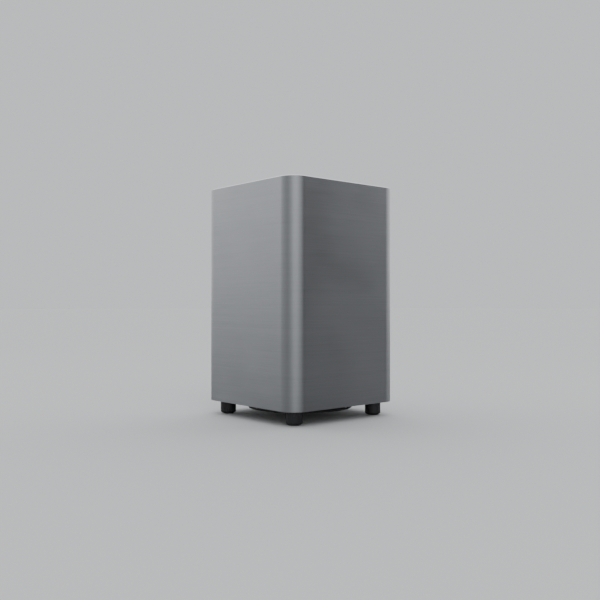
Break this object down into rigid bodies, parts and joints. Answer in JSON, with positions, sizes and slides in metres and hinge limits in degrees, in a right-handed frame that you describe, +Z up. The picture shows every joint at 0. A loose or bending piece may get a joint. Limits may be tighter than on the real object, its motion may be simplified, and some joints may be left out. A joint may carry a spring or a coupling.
{
  "type": "wireless subwoofer",
  "caption": "Tall square soundbar subwoofer in a brushed metal sleeve with rounded upright corners, on round black feet, with a down-firing driver and a rear port.",
  "frame": {"origin": "on the floor, under the middle of the cabinet", "axes": "+Z up, -Y to the plain front, +Y to the rear with the port and the amplifier, +X to the right seen from the front"},
  "size_m": [0.23, 0.23, 0.379],
  "materials": {
    "brushed_metal": "brushed, anodised mid grey",
    "board_wood": "medium-density fibreboard, unfinished",
    "wadding": "loose polyester wadding",
    "foot_plastic": "black, satin gloss",
    "pad_rubber": "soft, matte",
    "black_screw": "black oxide",
    "zinc_screw": "zinc plated",
    "basket_steel": "black powder coat",
    "gasket_foam": "closed-cell foam",
    "pole_steel": "zinc plated",
    "ferrite": "sintered ferrite, matte",
    "surround_rubber": "moulded, satin",
    "cone_paper": "coated pulp, fine fibres",
    "spider_cloth": "resin-stiffened weave",
    "former_film": "amber film",
    "copper": "enamelled copper wire",
    "tag_brass": "stamped, bright",
    "guard_plastic": "moulded, fine grain",
    "port_plastic": "moulded, satin",
    "tray_metal": "cast, black textured paint",
    "inlet_plastic": "moulded, glossy",
    "pin_nickel": "nickel plated",
    "button_plastic": "moulded, satin",
    "switch_body": "small pressed parts",
    "switch_plastic": "moulded",
    "lamp_resin": "water-clear resin",
    "lens_clear": "clear light pipe",
    "circuit_green": "solder resist on glass fibre",
    "chip_resin": "moulded epoxy",
    "plain_aluminium": "extruded, plain",
    "winding_tape": "yellow polyester tape over ferrite",
    "can_sleeve": "shrink sleeve on aluminium cans",
    "choke_body": "shielded ferrite",
    "plug_nylon": "natural nylon",
    "shield_steel": "tinned shield",
    "wire_red": "insulated stranded wire",
    "wire_dark": "insulated stranded wire"
  },
  "bodies": {
    "cabinet": {"brushed_sleeve": "brushed_metal", "top_plate": "brushed_metal", "top_board": "board_wood", "bottom_board": "board_wood", "front_board": "board_wood", "rear_board": "board_wood", "left_board": "board_wood", "right_board": "board_wood", "corner_posts": "board_wood", "damping_pad_left": "wadding", "damping_pad_right": "wadding", "damping_pad_front": "wadding", "foot_front_left": "foot_plastic", "foot_front_right": "foot_plastic", "foot_rear_left": "foot_plastic", "foot_rear_right": "foot_plastic", "foot_pads": "pad_rubber", "foot_screws": "zinc_screw", "driver_basket": "basket_steel", "driver_gasket": "gasket_foam", "driver_screws": "black_screw", "pole_plate": "pole_steel", "magnet_ring": "ferrite", "yoke": "pole_steel", "surround": "surround_rubber", "spider": "spider_cloth", "driver_terminals": "tag_brass", "tinsel_leads": "copper", "driver_guard": "guard_plastic", "guard_screws": "black_screw", "port_tube": "port_plastic", "port_end_flare": "port_plastic", "amp_plate": "tray_metal", "amp_gasket": "gasket_foam", "amp_screws": "black_screw", "ac_inlet": "inlet_plastic", "inlet_pins": "pin_nickel", "tact_switch": "switch_body", "status_lamp": "lamp_resin", "lamp_lens": "lens_clear", "control_board": "circuit_green", "main_board": "circuit_green", "board_standoffs": "tag_brass", "board_screws": "zinc_screw", "amp_chip": "chip_resin", "heat_spreader": "plain_aluminium", "power_transformer": "winding_tape", "board_capacitors": "can_sleeve", "output_chokes": "choke_body", "mains_choke": "choke_body", "board_plugs": "plug_nylon", "wireless_module": "shield_steel", "mains_lead": "wire_dark", "speaker_lead": "wire_red"},
    "woofer_cone": {"cone": "cone_paper", "dust_cap": "cone_paper", "voice_coil_former": "former_film", "voice_coil": "copper"},
    "pair_button": {"pair_button": "button_plastic", "switch_plunger": "switch_plastic"}
  },
  "joints": [
    {"name": "cone_stroke", "type": "slide", "parent": "cabinet", "child": "woofer_cone", "axis": [0, 0, 1], "range_m": [-0.005, 0.005], "stiffness_N_per_m": 2800, "deforming": ["surround", "spider", "tinsel_leads"]},
    {"name": "button_press", "type": "slide", "parent": "cabinet", "child": "pair_button", "axis": [0, -1, 0], "range_m": [0, 0.0005], "stiffness_N_per_m": 800}
  ]
}
